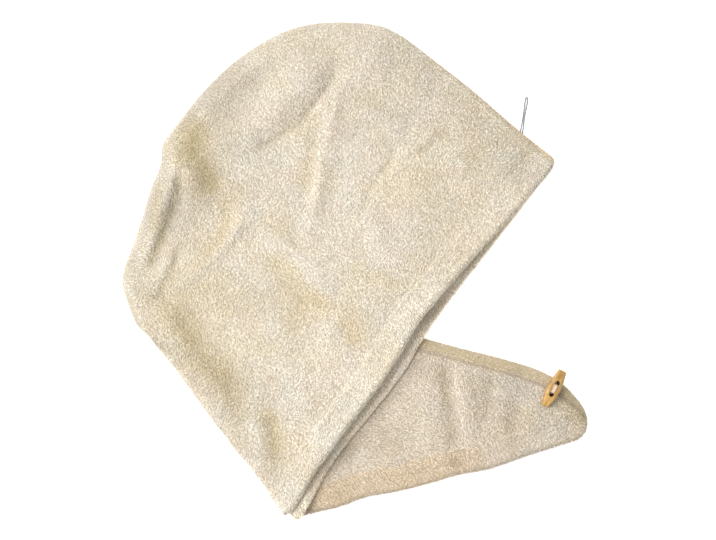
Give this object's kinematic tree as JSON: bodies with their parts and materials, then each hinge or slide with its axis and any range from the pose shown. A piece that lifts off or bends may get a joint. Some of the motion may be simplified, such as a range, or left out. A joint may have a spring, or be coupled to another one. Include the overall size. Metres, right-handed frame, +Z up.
{
  "type": "hair turban towel",
  "caption": "Terry hair turban towel lying flat: a hood with an open hem whose tapered tail is folded under it, with a wooden toggle on the tail and an elastic loop on the front seam.",
  "frame": {"origin": "on the surface that the towel lies on, under the middle of the cloth's outline", "axes": "+X points out of the hood's opening, square to its hem; +Y runs along the hem towards the front corner with the loop; +Z is up"},
  "size_m": [0.452, 0.425, 0.0266],
  "materials": {
    "terry": "looped and brushed cotton pile, matt",
    "terry_shade": "looped and brushed cotton pile, matt",
    "wood": "smooth with a thin satin varnish",
    "thread": "twisted cotton, matt",
    "elastic": "braided round elastic, matt"
  },
  "bodies": {
    "root": {"panel_upper": "terry", "panel_lower": "terry_shade", "toggle_button": "wood", "toggle_thread": "thread", "elastic_loop": "elastic"}
  },
  "joints": []
}
